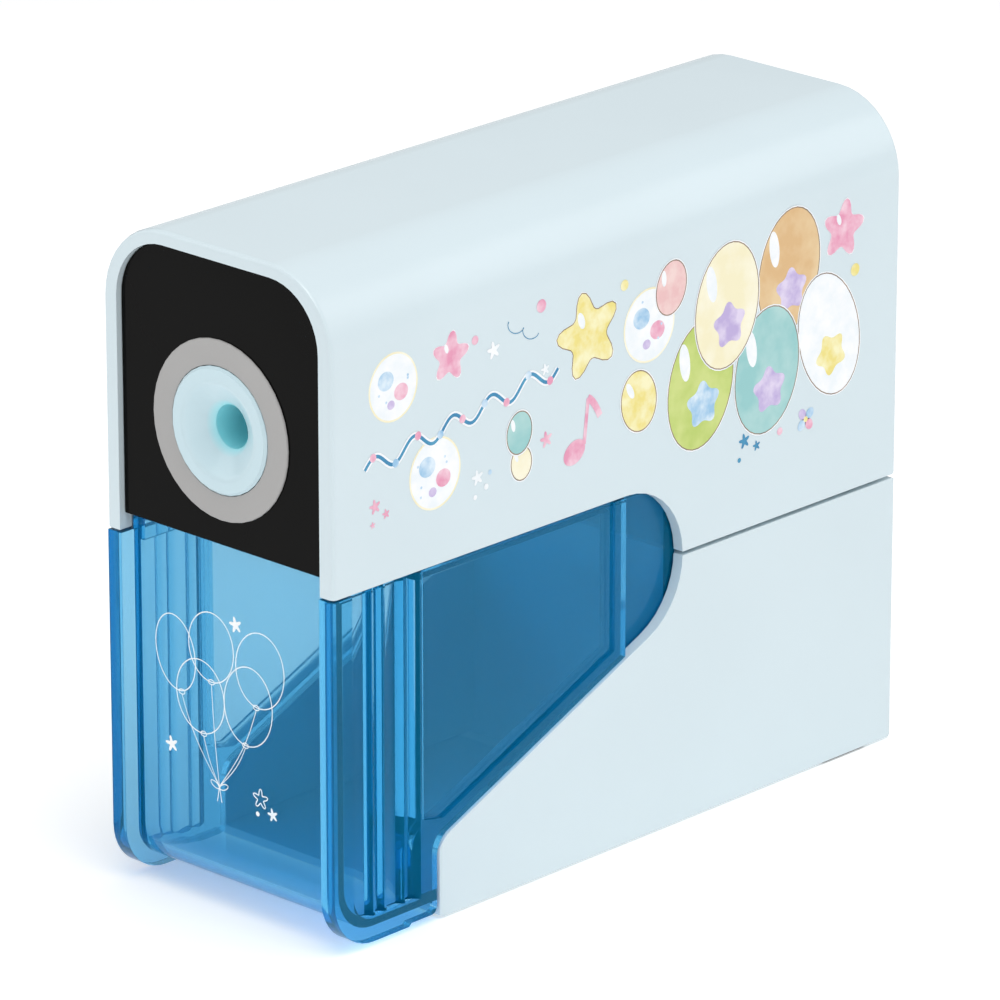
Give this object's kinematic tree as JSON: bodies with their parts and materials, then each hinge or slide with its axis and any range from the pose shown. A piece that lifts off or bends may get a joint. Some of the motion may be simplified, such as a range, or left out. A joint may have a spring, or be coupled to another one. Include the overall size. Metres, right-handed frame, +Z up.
{
  "type": "pencil sharpener",
  "caption": "Battery pencil sharpener: arched glossy casing with a black front panel and funnel entry over a clear tinted shavings drawer, with a geared helical cutter inside.",
  "frame": {"origin": "centre of the footprint, on the table under the feet", "axes": "+Z up, -Y is the front with the pencil entry, the pencil goes in along +Y, X is across the width"},
  "size_m": [0.06, 0.159, 0.134],
  "materials": {
    "casing": "glossy pale blue ABS",
    "panel": "piano-black gloss",
    "trim": "satin silver grey",
    "guide": "pale aqua gloss",
    "black_plastic": "black moulded",
    "white_nylon": "natural nylon",
    "grey_nylon": "grey moulded",
    "drawer": "clear tinted blue",
    "steel": "ground tool steel",
    "zinc": "zinc plated",
    "brass": "turned brass",
    "rubber": "matt rubber",
    "cell": "printed jacket"
  },
  "bodies": {
    "housing": {"upper_casing": "casing", "lower_body": "casing", "foot_front_left": "rubber", "foot_front_right": "rubber", "foot_rear_left": "rubber", "foot_rear_right": "rubber", "front_panel": "panel", "trim_ring": "trim", "pencil_guide": "guide", "guide_nut": "black_plastic", "switch_body": "black_plastic", "gear_chassis": "grey_nylon", "chassis_screw_front_left": "zinc", "chassis_screw_front_right": "zinc", "chassis_screw_rear_left": "zinc", "chassis_screw_rear_right": "zinc", "case_screw_left": "zinc", "case_screw_right": "zinc", "ring_gear": "grey_nylon", "carrier_bush": "brass", "gear_axle": "steel", "motor_can": "zinc", "motor_end_cap": "black_plastic", "aa_cell_1": "cell", "aa_cell_2": "cell", "aa_cell_3": "cell", "aa_cell_4": "cell", "cell_spring_1": "zinc", "cell_spring_2": "zinc", "cell_spring_3": "zinc", "cell_spring_4": "zinc", "contact_left_front": "zinc", "contact_left_rear": "zinc", "contact_right_front": "zinc", "contact_right_middle": "zinc", "contact_right_rear": "zinc"},
    "drawer": {"shavings_drawer": "drawer"},
    "carrier": {"cutter_carrier": "zinc", "carrier_gear": "white_nylon", "cutter_pin": "zinc"},
    "cutter": {"helical_cutter": "steel", "planet_pinion": "brass"},
    "wheel": {"compound_gear": "white_nylon"},
    "rotor": {"motor_shaft": "steel", "motor_pinion": "brass"},
    "door": {"battery_door": "casing"},
    "lever": {"switch_lever": "white_nylon"}
  },
  "joints": [
    {"name": "drawer_slide", "type": "slide", "parent": "housing", "child": "drawer", "axis": [0, -1, 0], "range_m": [0, 0.095]},
    {"name": "carrier_spin", "type": "hinge", "parent": "housing", "child": "carrier", "pos_m": [0, 0, 0.098], "axis": [0, 1, 0], "continuous": true},
    {"name": "cutter_spin", "type": "hinge", "parent": "carrier", "child": "cutter", "pos_m": [0, -0.0645, 0.111], "axis": [0, 0.9822, -0.188], "continuous": true},
    {"name": "wheel_spin", "type": "hinge", "parent": "housing", "child": "wheel", "pos_m": [0, 0, 0.114], "axis": [0, 1, 0], "continuous": true},
    {"name": "rotor_spin", "type": "hinge", "parent": "housing", "child": "rotor", "pos_m": [0, 0, 0.1005], "axis": [0, 1, 0], "continuous": true},
    {"name": "door_hinge", "type": "hinge", "parent": "housing", "child": "door", "pos_m": [0, 0.0759, 0.0005], "axis": [1, 0, 0], "range_deg": [0, 100]},
    {"name": "lever_hinge", "type": "hinge", "parent": "housing", "child": "lever", "pos_m": [0, -0.0715, 0.115], "axis": [1, 0, 0], "range_deg": [0, 12], "stiffness_Nm_per_rad": 0.002, "springref_deg": -5.16}
  ],
  "couplings": [
    {"joint": "cutter_spin", "follows": "carrier_spin", "ratio": -3.6},
    {"joint": "wheel_spin", "follows": "carrier_spin", "ratio": -3},
    {"joint": "rotor_spin", "follows": "carrier_spin", "ratio": 12}
  ]
}
